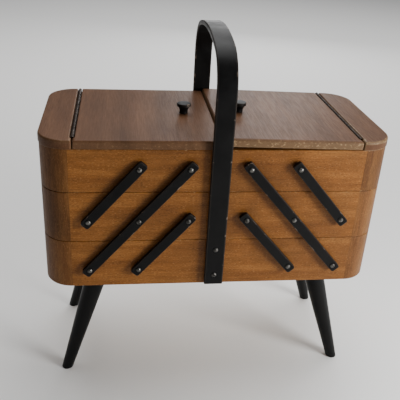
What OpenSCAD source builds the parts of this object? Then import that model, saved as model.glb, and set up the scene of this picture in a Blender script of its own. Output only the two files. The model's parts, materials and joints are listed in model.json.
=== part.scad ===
// Cantilever sewing box: a bottom box on four splayed legs, two tiers of half trays on
// parallel links, two hinged lids and a strap handle.
// Millimetres. +Z up, +X to the right, +Y to the back. The origin is on the ground
// under the middle of the box.

/* [Box] */
// Length of the box over its end walls
box_length = 440; // [380:1:540]
// Depth of the box over its front and back walls
box_depth = 206; // [165:1:250]
// Outer radius of the upright corners
corner_radius = 36; // [20:1:45]
// Thickness of the straight walls
wall_thick = 8; // [6:0.5:10]
// Thickness of the rounded corner posts
post_thick = 12; // [8:0.5:16]
// Thickness of the base panels
panel_thick = 4; // [3:0.5:5]
// Height of each base panel above the lower edge of its walls
panel_rise = 4; // [3:0.5:8]
// Depth of the grooves that hold the base panels
groove_depth = 4; // [2:0.5:5]

/* [Tiers] */
// Height of the bottom box
bottom_height = 67.4; // [56:0.1:82]
// Height of the middle trays
middle_height = 68; // [56:0.1:82]
// Height of the top trays without their lids
top_height = 56.2; // [46:0.1:70]
// Gap between one tier and the next
tier_gap = 0.4; // [0.3:0.1:1]
// Gap between each inner end wall and the middle of the box
half_seam = 0.3; // [0.2:0.1:1]

/* [Lids] */
// Thickness of the lids
lid_thick = 11; // [9:0.5:14]
// Overhang of the lids and end rails past the walls
lid_overhang = 0.8; // [0:0.1:1.9]
// Gap between each lid and the middle of the box
lid_half_seam = 0.5; // [0.5:0.1:1]
// Distance from the end of the box to the hinge line
hinge_inset = 41.6; // [35:0.1:60]
// Half of the seam between a lid and its end rail
edge_half_seam = 0.5; // [0.5:0.1:1]
// Radius of the two edges that meet at the seam
edge_round = 3.5; // [3.5:0.1:4]
// Angle at which the right lid stands ajar
right_ajar = 1.15; // [0:0.05:3]

/* [Hinges] */
// Half width of the slot that the hinge lies in
hinge_slot_half = 2.75; // [2.6:0.05:3.2]
// Depth of the hinge axis below the top of the lid
axis_depth = 2; // [1.8:0.05:2.1]
// Distance from the front edge of the lid to the hinge
hinge_front_stop = 13; // [8:0.5:25]
// Radius of the knuckles
knuckle_radius = 2.2; // [2:0.05:2.3]
// Radius of the hinge pin
hinge_pin_radius = 1; // [0.8:0.05:1.2]
// Thickness of a leaf
leaf_thick = 1; // [0.8:0.05:1.2]
// Gap between a leaf's lower edge and the underside of the lid
leaf_clearance = 1; // [0.5:0.1:2]
// Number of knuckles in each hinge
knuckle_count = 15; // [9:2:19]
// Gap between neighbouring knuckles
knuckle_gap = 0.3; // [0.2:0.05:0.5]
// Running clearance of the lid's knuckles on the pin
pin_clearance = 0.05; // [0.02:0.01:0.1]

/* [Links] */
// Distance from the middle of the box to the innermost pivots
first_pivot = 37.4; // [32:0.1:50]
// Distance along the box from one column of pivots to the next
pivot_step = 62; // [50:0.5:66]
// Height of the lowest pivots above the lower edge of the bottom box
pivot_height = 28.6; // [22:0.1:34]
// How much further apart the rows of pivots are than the tiers
pivot_climb = 2.4; // [0:0.1:4]
// Width of the links
link_width = 12.5; // [10:0.5:18]
// Thickness of the links
link_thick = 6; // [4:0.5:8]
// Length of a link past its end pivot
link_end = 9; // [8:0.5:13]
// Radius of a link's corners
link_corner = 3; // [1:0.5:5]
// Gap on each side of a link
link_gap = 0.3; // [0.2:0.05:0.5]
// Thickness of the washers behind the links
link_washer_thick = 1.9; // [1.7:0.1:3]
// Radius of the washers behind the links
link_washer_radius = 5.5; // [4.5:0.1:7]

/* [Screws] */
// Radius of the screw heads
head_radius = 3.2; // [2.8:0.1:4.5]
// Height of the domed screw heads
head_height = 2.2; // [1.6:0.1:3]
// Radius of a screw's shoulder
shoulder_radius = 2.25; // [2:0.05:2.8]
// Radius of a screw's thread
thread_radius = 1.75; // [1.4:0.05:1.9]
// Length of the thread in the wall
thread_length = 5.5; // [4:0.1:5.8]
// Running clearance of the links on the screws
pivot_clearance = 0.06; // [0.02:0.01:0.1]
// Clearance at the pivots that close a parallelogram
closing_clearance = 0.25; // [0.1:0.05:0.4]
// Width of the slot in a screw head
slot_width = 0.9; // [0.6:0.1:1.2]
// Depth of the slot in a screw head
slot_depth = 0.8; // [0.5:0.1:1]

/* [Handle] */
// Width of the strap
strap_width = 24.5; // [18:0.5:30]
// Thickness of the strap
strap_thick = 6; // [4:0.5:8]
// Height of the top of the handle above the lids
handle_rise = 117.2; // [115:0.1:150]
// Outer radius of the handle's corners
handle_corner = 52; // [40:1:54]
// Outer radius of the handle's arched top
handle_crown = 300; // [250:10:600]
// Thickness of the washers behind the strap
strap_washer_thick = 2.2; // [2.1:0.1:3]
// Radius of the washers behind the strap
strap_washer_radius = 7; // [5:0.5:10]
// Height of the strap's ends above the lower edge of the box
strap_start = 3.5; // [0:0.5:6]
// Height of the lower handle screws above the lower edge of the box
low_screw_height = 18; // [14:0.5:24]
// Distance from the upper handle screws to the upper edge of the bottom box
high_screw_drop = 11; // [8:0.5:18]

/* [Knobs] */
// Distance from the middle of the box to a knob
knob_from_middle = 37.3; // [25:0.1:60]
// Radius of a knob's top
knob_radius = 9.25; // [7:0.25:12]
// Radius of a knob's foot
knob_foot_radius = 5.5; // [4.5:0.25:7]
// Height of a knob
knob_height = 14; // [10:0.5:18]
// Radius of a knob screw's thread
knob_screw_radius = 2; // [1.5:0.1:2.5]
// Length of a knob screw inside the knob
knob_screw_reach = 8; // [5:0.5:9]

/* [Legs] */
// Height of the bottom box above the ground
leg_height = 160; // [120:1:200]
// Radius of a leg at its top
leg_top_radius = 14.5; // [12:0.5:16]
// Radius of a leg at its foot
foot_radius = 7.5; // [6:0.5:10]
// Distance from the end of the box to the middle of a foot
foot_end_inset = 20; // [0:1:40]
// Distance from the front of the box to the middle of a foot
foot_front_inset = 28; // [10:1:40]
// How far a leg's top is further in from the end of the box than its foot
leg_end_lean = 45; // [0:1:60]
// How far a leg's top is further in from the front of the box than its foot
leg_front_lean = 17.2; // [0:0.1:30]
// Thickness of the battens under the base panel
batten_thick = 16; // [14:0.5:20]
// Width of the battens
batten_width = 46; // [40:1:60]
// Distance from the front of the box to the end of a batten
batten_inset = 26; // [24:1:30]
// Radius of the bolt in the top of each leg
leg_bolt_radius = 4; // [3:0.5:5]
// Length of the bolt inside the leg
leg_bolt_reach = 30; // [20:1:40]
// Radius of the threaded insert in the batten
insert_radius = 6; // [5.5:0.5:7]
// Length of the threaded insert
insert_length = 10; // [8:0.5:11]

/* [Hidden] */
$fn = 64;
sliver = 1;             // how far a cutting shape passes the face that it cuts
half_length = box_length / 2;
half_depth = box_depth / 2;
panel_fit = 0.5;        // gap between a base panel's edge and the bottom of its groove

bottom_z = leg_height;
middle_z = bottom_z + bottom_height + tier_gap;
top_z = middle_z + middle_height + tier_gap;
rim_z = top_z + top_height;
lid_z = rim_z + tier_gap;
lid_top_z = lid_z + lid_thick;

hinge_x = half_length - hinge_inset;
hinge_z = lid_top_z - axis_depth;
lid_half_depth = half_depth + lid_overhang;
hinge_front = -lid_half_depth + hinge_front_stop;
hinge_end_gap = 0.3;
leaf_front = hinge_front + hinge_end_gap;
leaf_back = lid_half_depth - hinge_end_gap;
knuckle_pitch = (leaf_back - leaf_front + knuckle_gap) / knuckle_count;
knuckle_length = knuckle_pitch - knuckle_gap;
leaf_depth = lid_thick - axis_depth - leaf_clearance;
leaf_notch = knuckle_radius + 0.4;      // depth below the axis where a leaf clears the other's knuckles
leaf_tip = 0.5;                         // depth below the axis where a leaf joins its own knuckles

pivot_rise = (bottom_height + middle_height) / 2 + tier_gap + pivot_climb;
pivot_x = [first_pivot, first_pivot + pivot_step, first_pivot + 2 * pivot_step];
pivot_z = [for (row = [0:2]) bottom_z + pivot_height + row * pivot_rise];
link_lean = atan2(pivot_step, pivot_rise);
pivot_spacing = norm([pivot_step, pivot_rise]);
link_inner_y = half_depth + link_washer_thick + link_gap;
link_outer_y = link_inner_y + link_thick;

strap_inner_y = half_depth + strap_washer_thick;
strap_outer_y = strap_inner_y + strap_thick;
strap_screws = [low_screw_height, bottom_height - high_screw_drop];     // heights above the box's lower edge
handle_top_z = lid_top_z + handle_rise;
crown_angle = asin((strap_outer_y - handle_corner) / (handle_crown - handle_corner));
corner_z = handle_top_z - handle_crown + (handle_crown - handle_corner) * cos(crown_angle);
corner_steps = 12;
crown_steps = 16;

panel_under_z = bottom_z + panel_rise;
batten_z = panel_under_z - batten_thick;
foot_x = half_length - foot_end_inset;
foot_y = half_depth - foot_front_inset;
leg_head_x = foot_x - leg_end_lean;
leg_head_y = foot_y - leg_front_lean;
leg_tilt = atan2(norm([leg_end_lean, leg_front_lean]), batten_z);
leg_length = norm([leg_end_lean, leg_front_lean, batten_z]);
leg_taper = (leg_top_radius - foot_radius) / leg_length;
leg_extra = 20;         // length past both ends, cut off level
leg_turn = 37;          // turn of the leg about its own axis
batten_x = leg_head_x;

// ---- places and shared shapes ----

// The right half as drawn, and the left half as its mirror image
module on_side(side) {
    mirror([side == "left" ? 1 : 0, 0, 0]) children();
}

// The front as drawn, and the back as its mirror image
module on_face(face) {
    mirror([0, face == "back" ? 1 : 0, 0]) children();
}

// A box between two corners
module block(low, high) {
    translate(low) cube(high - low);
}

// Flat outline from one x to another, with only the two corners at the far end rounded
module half_outline(x_in, x_out, half_y, radius) {
    translate([x_in, -half_y]) square([x_out - radius - x_in, 2 * half_y]);
    translate([x_in, radius - half_y]) square([x_out - x_in, 2 * (half_y - radius)]);
    for (end = [-1, 1]) translate([x_out - radius, end * (half_y - radius)]) circle(radius);
}

// Slotted dome-head screw standing out along +Z from the face that its head bears on
module dome_screw(grip, length) {
    dome = (pow(head_radius, 2) + pow(head_height, 2)) / (2 * head_height);
    difference() {
        rotate_extrude() intersection() {
            translate([0, head_height - dome]) circle(dome);
            square([head_radius, head_height]);
        }
        translate([-head_radius, -slot_width / 2, head_height - slot_depth])
            cube([2 * head_radius, slot_width, head_height]);
    }
    translate([0, 0, -grip]) cylinder(grip, shoulder_radius, shoulder_radius);
    translate([0, 0, -grip - length]) cylinder(length, thread_radius, thread_radius);
}

// Puts a shape drawn along +Z at a place on the front face, pointing to the front
module out_of_front(x, y, z) {
    translate([x, -y, z]) rotate([90, 0, 0]) children();
}

// Blind holes for thread in the front wall, at a list of [x, z] places
module front_holes(places) {
    for (place = places)
        out_of_front(place[0], half_depth - thread_length, place[1])
            cylinder(thread_length + sliver, thread_radius, thread_radius);
}

function places_of(columns, row) = [for (column = columns) [pivot_x[column], pivot_z[row]]];

// Pivot screws of one tray, front and back, for the right half
module pivot_screws(places) {
    for (face = ["front", "back"], place = places)
        on_face(face) out_of_front(place[0], link_outer_y + link_gap, place[1])
            dome_screw(link_outer_y + link_gap - half_depth, thread_length);
}

// Washers behind the links, front and back, for the right half
module link_washers(places) {
    for (face = ["front", "back"], place = places)
        on_face(face) out_of_front(place[0], half_depth, place[1])
            difference() {
                cylinder(link_washer_thick, link_washer_radius, link_washer_radius);
                translate([0, 0, -sliver])
                    cylinder(link_washer_thick + 2 * sliver, shoulder_radius, shoulder_radius);
            }
}

// Groove for a base panel, as the space that the panel's edge may fill
module half_groove(z, x_in) {
    translate([0, 0, z + panel_rise]) linear_extrude(panel_thick)
        half_outline(x_in, half_length - wall_thick + groove_depth,
            half_depth - wall_thick + groove_depth, corner_radius - wall_thick + groove_depth);
}

// Base panel of the right half of a tier, from the given x
module half_panel(z, x_in) {
    translate([0, 0, z + panel_rise]) linear_extrude(panel_thick)
        half_outline(x_in, half_length - wall_thick + groove_depth - panel_fit,
            half_depth - wall_thick + groove_depth - panel_fit,
            corner_radius - wall_thick + groove_depth - panel_fit);
}

// Corner post at the right front
module corner_post(z, height) {
    translate([half_length - corner_radius, corner_radius - half_depth, z])
        linear_extrude(height) intersection() {
            difference() {
                circle(corner_radius);
                circle(corner_radius - post_thick);
            }
            translate([0, -corner_radius]) square(corner_radius);
        }
}

// ---- half trays ----

module tray_walls(z, height, places) {
    inner = half_seam + wall_thick;
    corner = half_length - corner_radius;
    color("peru") difference() {
        union() {
            for (face = ["front", "back"]) on_face(face) difference() {
                block([inner, -half_depth, z], [corner, wall_thick - half_depth, z + height]);
                front_holes(places);
            }
            block([half_seam, -half_depth, z], [inner, half_depth, z + height]);
            block([half_length - wall_thick, corner_radius - half_depth, z],
                [half_length, half_depth - corner_radius, z + height]);
        }
        half_groove(z, inner - groove_depth);
    }
}

module tray_corner_posts(z, height) {
    color("peru") difference() {
        for (face = ["front", "back"]) on_face(face) corner_post(z, height);
        half_groove(z, 0);
    }
}

module tray_base_panel(z) {
    color("burlywood") half_panel(z, half_seam + wall_thick - groove_depth + panel_fit);
}

module tray_pivot_screws(places) {
    color("silver") pivot_screws(places);
    color("silver") link_washers(places);
}

middle_places = places_of([0, 1, 2], 1);
top_places = places_of([0, 1], 2);

// ---- bottom box ----

module bottom_groove() {
    half_groove(bottom_z, 0);
    mirror([1, 0, 0]) half_groove(bottom_z, 0);
}

bottom_places = places_of([1, 2], 0);

module bottom_box_front_wall() {
    corner = half_length - corner_radius;
    color("peru") difference() {
        block([-corner, -half_depth, bottom_z], [corner, wall_thick - half_depth, bottom_z + bottom_height]);
        bottom_groove();
        front_holes(bottom_places);
        mirror([1, 0, 0]) front_holes(bottom_places);
        front_holes([for (height = strap_screws) [0, bottom_z + height]]);
    }
}

module bottom_box_back_wall() {
    mirror([0, 1, 0]) bottom_box_front_wall();
}

module bottom_box_end() {
    color("peru") difference() {
        block([half_length - wall_thick, corner_radius - half_depth, bottom_z],
            [half_length, half_depth - corner_radius, bottom_z + bottom_height]);
        bottom_groove();
    }
}

module bottom_box_left_end() {
    mirror([1, 0, 0]) bottom_box_end();
}

module bottom_box_right_end() {
    bottom_box_end();
}

module bottom_box_corner_posts() {
    color("peru") difference() {
        for (side = ["left", "right"], face = ["front", "back"])
            on_side(side) on_face(face) corner_post(bottom_z, bottom_height);
        bottom_groove();
    }
}

module bottom_box_base_panel() {
    color("burlywood") {
        half_panel(bottom_z, 0);
        mirror([1, 0, 0]) half_panel(bottom_z, 0);
    }
}

module bottom_box_pivot_screws() {
    color("silver") for (side = ["left", "right"]) on_side(side) pivot_screws(bottom_places);
}

module bottom_box_washers() {
    color("silver") for (side = ["left", "right"]) on_side(side) link_washers(bottom_places);
    color("dimgray") for (face = ["front", "back"], height = strap_screws)
        on_face(face) out_of_front(0, half_depth, bottom_z + height) difference() {
            cylinder(strap_washer_thick, strap_washer_radius, strap_washer_radius);
            translate([0, 0, -sliver])
                cylinder(strap_washer_thick + 2 * sliver, shoulder_radius, shoulder_radius);
        }
}

// ---- handle ----

function arc(middle, radius, from, to, steps) =
    [for (step = [0:steps]) middle + radius * [cos(from + (to - from) * step / steps),
        sin(from + (to - from) * step / steps)]];

// One half of the arch, inset from the outer face, from the back foot up to the middle of the top
function arch_half(inset) = concat(
    [[strap_outer_y - inset, bottom_z + strap_start]],
    arc([strap_outer_y - handle_corner, corner_z], handle_corner - inset, 0, 90 - crown_angle, corner_steps),
    [for (step = [1:crown_steps]) let (turn = crown_angle * (1 - step / crown_steps))
        [(handle_crown - inset) * sin(turn), handle_top_z - handle_crown + (handle_crown - inset) * cos(turn)]]);

function backwards(points) = [for (step = [len(points) - 1:-1:0]) points[step]];

// The whole arch, on to the front foot
function arch(inset) = let (half = arch_half(inset))
    concat(half, [for (step = [len(half) - 2:-1:0]) [-half[step][0], half[step][1]]]);

module arch_outline() {
    polygon(concat(arch(0), backwards(arch(strap_thick))));
}

module handle() {
    color("dimgray") difference() {
        translate([-strap_width / 2, 0, 0]) rotate([90, 0, 90]) linear_extrude(strap_width) arch_outline();
        for (face = ["front", "back"], height = strap_screws)
            on_face(face) out_of_front(0, strap_inner_y - sliver, bottom_z + height)
                cylinder(strap_thick + 2 * sliver, shoulder_radius, shoulder_radius);
    }
}

module handle_screws() {
    color("silver") for (face = ["front", "back"], height = strap_screws)
        on_face(face) out_of_front(0, strap_outer_y, bottom_z + height)
            dome_screw(strap_outer_y - half_depth, thread_length);
}

// ---- legs ----

// Puts a shape drawn down the axis of the right front leg, from the batten's underside
module down_leg() {
    translate([leg_head_x, -leg_head_y, batten_z])
        rotate([0, 180 - leg_tilt, atan2(-leg_front_lean, leg_end_lean)])
            rotate([0, 0, leg_turn]) children();
}

module leg() {
    color("dimgray") difference() {
        intersection() {
            down_leg() translate([0, 0, -leg_extra])
                cylinder(leg_length + 2 * leg_extra, leg_top_radius + leg_taper * leg_extra,
                    foot_radius - leg_taper * leg_extra);
            translate([0, -half_depth, 0]) cube([half_length, half_depth, batten_z]);
        }
        down_leg() translate([0, 0, -leg_extra])
            cylinder(leg_extra + leg_bolt_reach, leg_bolt_radius, leg_bolt_radius);
    }
}

module leg_front_left() { on_side("left") leg(); }
module leg_front_right() { leg(); }
module leg_back_left() { on_side("left") on_face("back") leg(); }
module leg_back_right() { on_face("back") leg(); }

insert_start = 1 + insert_radius * tan(leg_tilt);   // lifts the tilted insert clear of the batten's face

module insert_space(radius) {
    down_leg() translate([0, 0, -insert_start - insert_length]) cylinder(insert_length, radius, radius);
}

module leg_battens() {
    color("burlywood") for (side = ["left", "right"]) on_side(side) difference() {
        block([batten_x - batten_width / 2, batten_inset - half_depth, batten_z],
            [batten_x + batten_width / 2, half_depth - batten_inset, panel_under_z]);
        for (face = ["front", "back"]) on_face(face) {
            insert_space(insert_radius);
            down_leg() translate([0, 0, -insert_start - sliver])
                cylinder(insert_start + leg_extra, leg_bolt_radius, leg_bolt_radius);
        }
    }
}

module leg_bolts() {
    color("silver") for (side = ["left", "right"], face = ["front", "back"]) on_side(side) on_face(face)
        down_leg() translate([0, 0, -insert_start - insert_length])
            cylinder(insert_start + insert_length + leg_bolt_reach, leg_bolt_radius, leg_bolt_radius);
}

module leg_inserts() {
    color("goldenrod") for (side = ["left", "right"], face = ["front", "back"]) on_side(side) on_face(face)
        difference() {
            insert_space(insert_radius);
            down_leg() translate([0, 0, -insert_start - insert_length - sliver])
                cylinder(insert_length + 2 * sliver, leg_bolt_radius, leg_bolt_radius);
        }
}

// ---- lids, rails and hinges ----

// Edge of a lid or rail along the seam, drawn in X and Z about the hinge axis, with
// its outer end at the given distance from the axis
module board_section(seam, far, low) {
    translate([seam, low]) square([far - seam, axis_depth - edge_round - low]);
    translate([seam + edge_round, low]) square([far - seam - edge_round, axis_depth - low]);
    translate([seam + edge_round, axis_depth - edge_round]) circle(edge_round);
}

// A board along the hinge from one y to another, drawn to the right of the hinge axis
module seam_board(seam, far, low, from_y, to_y) {
    translate([0, to_y, 0]) rotate([90, 0, 0]) linear_extrude(to_y - from_y) board_section(seam, far, low);
}

module seam_boards(far, low) {
    seam_board(edge_half_seam, far, low, -lid_half_depth, hinge_front);
    seam_board(hinge_slot_half, far, low, hinge_front, lid_half_depth);
}

module end_rail() {
    color("saddlebrown") intersection() {
        translate([hinge_x, 0, hinge_z]) seam_boards(hinge_inset + lid_overhang, rim_z - hinge_z);
        translate([0, 0, rim_z]) linear_extrude(lid_top_z - rim_z)
            half_outline(0, half_length + lid_overhang, lid_half_depth, corner_radius + lid_overhang);
    }
}

// Turns a lid and what is on it about the hinge axis, opening by the given angle
module turned_lid(angle) {
    translate([hinge_x, 0, hinge_z]) rotate([0, angle, 0]) translate([-hinge_x, 0, -hinge_z]) children();
}

module lid() {
    color("sienna") difference() {
        translate([hinge_x, 0, hinge_z]) mirror([1, 0, 0])
            seam_boards(hinge_x - lid_half_seam, lid_z - hinge_z);
        translate([knob_from_middle, 0, lid_z - sliver])
            cylinder(lid_thick + 2 * sliver, knob_screw_radius, knob_screw_radius);
    }
}

// One leaf drawn to the right of the axis; first is 0 or 1 for the first knuckle that it carries
module hinge_leaf(first, bore) {
    edge = hinge_slot_half - leaf_thick;
    translate([hinge_x, leaf_front, hinge_z]) difference() {
        union() {
            block([edge, 0, -leaf_depth], [hinge_slot_half, leaf_back - leaf_front, -leaf_notch]);
            for (index = [first:2:knuckle_count - 1]) translate([0, index * knuckle_pitch, 0]) {
                block([edge, 0, -leaf_notch - sliver], [hinge_slot_half, knuckle_length, -leaf_tip]);
                rotate([-90, 0, 0]) cylinder(knuckle_length, knuckle_radius, knuckle_radius);
            }
        }
        translate([0, -sliver, 0]) rotate([-90, 0, 0])
            cylinder(leaf_back - leaf_front + 2 * sliver, bore, bore);
    }
}

module hinge_rail_leaf() {
    color("darkgoldenrod") hinge_leaf(0, hinge_pin_radius);
}

module hinge_lid_leaf() {
    color("darkgoldenrod") translate([hinge_x, 0, 0]) mirror([1, 0, 0]) translate([-hinge_x, 0, 0])
        hinge_leaf(1, hinge_pin_radius + pin_clearance);
}

module hinge_pin() {
    color("darkgoldenrod") translate([hinge_x, leaf_front, hinge_z]) rotate([-90, 0, 0])
        cylinder(leaf_back - leaf_front, hinge_pin_radius, hinge_pin_radius);
}

// ---- knobs ----

knob_rim = 3;           // height of the knob's straight rim
knob_neck = 3;          // height of the knob's straight foot

module knob() {
    flare = knob_height - knob_rim - knob_neck;
    reach = knob_radius - knob_foot_radius;
    color("dimgray") translate([knob_from_middle, 0, lid_top_z]) difference() {
        rotate_extrude() {
            square([knob_foot_radius, knob_height]);
            translate([0, knob_height - knob_rim]) square([knob_radius, knob_rim]);
            difference() {
                translate([knob_foot_radius, knob_neck]) square([reach, flare]);
                translate([knob_foot_radius + flare, knob_neck]) circle(flare);
            }
        }
        translate([0, 0, -sliver]) cylinder(knob_screw_reach + sliver, knob_screw_radius, knob_screw_radius);
    }
}

screw_flange = 1.2;     // thickness of the knob screw's flat head
screw_flange_radius = 4;

module knob_screw() {
    color("silver") translate([knob_from_middle, 0, lid_z]) {
        cylinder(lid_thick + knob_screw_reach, knob_screw_radius, knob_screw_radius);
        translate([0, 0, -screw_flange]) cylinder(screw_flange, screw_flange_radius, screw_flange_radius);
    }
}

// ---- links ----

// A link at the right front from its lowest pivot; bores lists the bore radius at each pivot
module link(column, row, bores) {
    span = (len(bores) - 1) * pivot_spacing;
    low = -link_end;
    high = span + link_end;
    half = link_width / 2;
    color("dimgray") translate([pivot_x[column], -link_inner_y, pivot_z[row]])
        rotate([0, -link_lean, 0]) rotate([90, 0, 0]) linear_extrude(link_thick) difference() {
            union() {
                translate([-half, low + link_corner]) square([link_width, high - low - 2 * link_corner]);
                translate([link_corner - half, low]) square([link_width - 2 * link_corner, high - low]);
                for (x = [link_corner - half, half - link_corner], y = [low + link_corner, high - link_corner])
                    translate([x, y]) circle(link_corner);
            }
            for (index = [0:len(bores) - 1]) translate([0, index * pivot_spacing]) circle(bores[index]);
        }
}

running = shoulder_radius + pivot_clearance;
closing = shoulder_radius + closing_clearance;

module long_link(side, face) {
    on_side(side) on_face(face) link(2, 0, [running, running, running]);
}

module lower_link(side, face) {
    on_side(side) on_face(face) link(1, 0, [running, closing]);
}

module upper_link(side, face) {
    on_side(side) on_face(face) link(2, 1, [running, closing]);
}

// ---- nodes ----

bottom_box_front_wall();
bottom_box_back_wall();
bottom_box_left_end();
bottom_box_right_end();
bottom_box_corner_posts();
bottom_box_base_panel();
leg_battens();
leg_front_left();
leg_front_right();
leg_back_left();
leg_back_right();
leg_bolts();
leg_inserts();
handle();
handle_screws();
bottom_box_pivot_screws();
bottom_box_washers();

on_side("left") tray_walls(middle_z, middle_height, middle_places);  // left_middle_tray_walls
on_side("left") tray_corner_posts(middle_z, middle_height);  // left_middle_tray_corner_posts
on_side("left") tray_base_panel(middle_z);  // left_middle_tray_base_panel
on_side("left") tray_pivot_screws(middle_places);  // left_middle_tray_pivot_screws
tray_walls(middle_z, middle_height, middle_places);  // right_middle_tray_walls
tray_corner_posts(middle_z, middle_height);  // right_middle_tray_corner_posts
tray_base_panel(middle_z);  // right_middle_tray_base_panel
tray_pivot_screws(middle_places);  // right_middle_tray_pivot_screws

on_side("left") tray_walls(top_z, top_height, top_places);  // left_top_tray_walls
on_side("left") tray_corner_posts(top_z, top_height);  // left_top_tray_corner_posts
on_side("left") tray_base_panel(top_z);  // left_top_tray_base_panel
on_side("left") tray_pivot_screws(top_places);  // left_top_tray_pivot_screws
tray_walls(top_z, top_height, top_places);  // right_top_tray_walls
tray_corner_posts(top_z, top_height);  // right_top_tray_corner_posts
tray_base_panel(top_z);  // right_top_tray_base_panel
tray_pivot_screws(top_places);  // right_top_tray_pivot_screws

on_side("left") end_rail();  // left_end_rail
end_rail();  // right_end_rail
on_side("left") hinge_rail_leaf();  // left_hinge_rail_leaf
on_side("left") hinge_lid_leaf();  // left_hinge_lid_leaf
on_side("left") hinge_pin();  // left_hinge_pin
hinge_rail_leaf();  // right_hinge_rail_leaf
turned_lid(right_ajar) hinge_lid_leaf();  // right_hinge_lid_leaf
hinge_pin();  // right_hinge_pin
on_side("left") lid();  // left_lid
turned_lid(right_ajar) lid();  // right_lid
on_side("left") knob();  // left_knob
turned_lid(right_ajar) knob();  // right_knob
on_side("left") knob_screw();  // left_knob_screw
turned_lid(right_ajar) knob_screw();  // right_knob_screw

long_link("left", "front");  // left_long_link_front
long_link("left", "back");  // left_long_link_back
lower_link("left", "front");  // left_lower_link_front
lower_link("left", "back");  // left_lower_link_back
upper_link("left", "front");  // left_upper_link_front
upper_link("left", "back");  // left_upper_link_back
long_link("right", "front");  // right_long_link_front
long_link("right", "back");  // right_long_link_back
lower_link("right", "front");  // right_lower_link_front
lower_link("right", "back");  // right_lower_link_back
upper_link("right", "front");  // right_upper_link_front
upper_link("right", "back");  // right_upper_link_back
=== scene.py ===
import json
import math

import bmesh
import bpy
from mathutils import Matrix, Vector


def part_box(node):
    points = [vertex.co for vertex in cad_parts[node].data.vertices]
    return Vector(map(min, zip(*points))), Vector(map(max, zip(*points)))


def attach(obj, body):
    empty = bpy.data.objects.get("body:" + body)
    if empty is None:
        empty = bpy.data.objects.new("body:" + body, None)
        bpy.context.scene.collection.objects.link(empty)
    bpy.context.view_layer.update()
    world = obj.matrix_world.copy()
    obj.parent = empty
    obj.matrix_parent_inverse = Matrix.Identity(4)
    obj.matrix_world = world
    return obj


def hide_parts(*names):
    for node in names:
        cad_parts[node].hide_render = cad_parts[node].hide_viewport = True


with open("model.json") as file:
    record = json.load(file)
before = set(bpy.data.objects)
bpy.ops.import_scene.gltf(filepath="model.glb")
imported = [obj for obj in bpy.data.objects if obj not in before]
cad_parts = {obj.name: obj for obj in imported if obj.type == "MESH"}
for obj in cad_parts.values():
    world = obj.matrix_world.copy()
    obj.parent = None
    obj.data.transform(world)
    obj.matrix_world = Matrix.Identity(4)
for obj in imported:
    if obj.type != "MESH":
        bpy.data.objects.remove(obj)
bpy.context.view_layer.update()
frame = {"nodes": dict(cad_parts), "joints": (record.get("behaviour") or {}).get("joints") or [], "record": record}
print("frame loaded")

mm = 0.001
up = Vector((0, 0, 1))
sideSign = {"left": -1, "right": 1}
faceSign = {"front": -1, "back": 1}


def addObject(name, data):
    made = bpy.data.objects.new(name, data)
    bpy.context.scene.collection.objects.link(made)
    return made


# ---- camera ----

cameraSetup = {
    "place": (-0.1238, -0.7739, 0.6278),
    "yaw": 8.52,        # degrees to the right of +Y
    "pitch": -26.8,     # degrees, down is negative
    "roll": 3.47,       # degrees
    "lens": 54.67,      # mm on a 36 mm sensor
    "sensor": 36.0,
    "clip": (0.05, 30.0),
}


def addCamera(setup):
    yaw, pitch, roll = (math.radians(setup[k]) for k in ("yaw", "pitch", "roll"))
    ahead = Vector((math.sin(yaw) * math.cos(pitch), math.cos(yaw) * math.cos(pitch), math.sin(pitch)))
    level = Vector((math.cos(yaw), -math.sin(yaw), 0.0))
    upright = level.cross(ahead)
    right = level * math.cos(roll) + upright * math.sin(roll)
    top = upright * math.cos(roll) - level * math.sin(roll)
    data = bpy.data.cameras.new("camera")
    data.sensor_width = setup["sensor"]
    data.lens = setup["lens"]
    data.clip_start, data.clip_end = setup["clip"]
    camera = addObject("camera", data)
    turn = Matrix((right, top, -ahead)).transposed().to_4x4()
    camera.matrix_world = Matrix.Translation(Vector(setup["place"])) @ turn
    bpy.context.scene.camera = camera


addCamera(cameraSetup)

# ---- what the frame gives ----

joints = {joint["name"]: joint for joint in frame["joints"]}


def jointPlace(name):
    return Vector(joints[name]["pos_m"])


def linkPivots(side):
    low, middle = jointPlace(side + "_long_links_swing"), jointPlace(side + "_middle_tray_level")
    step = middle - low         # from a pivot to the next one up the same link
    inner, outer = jointPlace(side + "_lower_links_swing"), jointPlace(side + "_upper_links_swing")
    return {
        "bottom": [inner, low],
        "middle": [inner + step, middle, outer],
        "top": [jointPlace(side + "_top_tray_level"), outer + step],
    }


# ---- node trees and materials: shared helpers ----


def feed(tree, socket, value):
    if isinstance(value, bpy.types.NodeSocket):
        tree.links.new(value, socket)
    else:
        socket.default_value = value


def addNode(tree, kind, values=None, **settings):
    made = tree.nodes.new(kind)
    for key, value in settings.items():
        setattr(made, key, value)
    for key, value in (values or {}).items():
        feed(tree, made.inputs[key], value)
    return made


def nodeOut(tree, kind, values=None, **settings):      # a node's first output
    return addNode(tree, kind, values, **settings).outputs[0]


def mixColor(tree, factor, first, second, blend="MIX"):
    made = addNode(tree, "ShaderNodeMix", data_type="RGBA", blend_type=blend)
    feed(tree, made.inputs[0], factor)
    feed(tree, made.inputs[6], first if isinstance(first, bpy.types.NodeSocket) else (*first, 1))
    feed(tree, made.inputs[7], second if isinstance(second, bpy.types.NodeSocket) else (*second, 1))
    return made.outputs[2]


def spread(tree, value, low, high, newLow=0.0, newHigh=1.0):
    values = {"Value": value, "From Min": low, "From Max": high, "To Min": newLow, "To Max": newHigh}
    return addNode(tree, "ShaderNodeMapRange", values, interpolation_type="SMOOTHSTEP").outputs["Result"]


def maths(tree, operation, first, second):
    return nodeOut(tree, "ShaderNodeMath", {0: first, 1: second}, operation=operation)


def times(tree, first, second):
    return maths(tree, "MULTIPLY", first, second)


def plus(tree, first, second):
    return maths(tree, "ADD", first, second)


def minus(tree, first, second):
    return maths(tree, "SUBTRACT", first, second)


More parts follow.
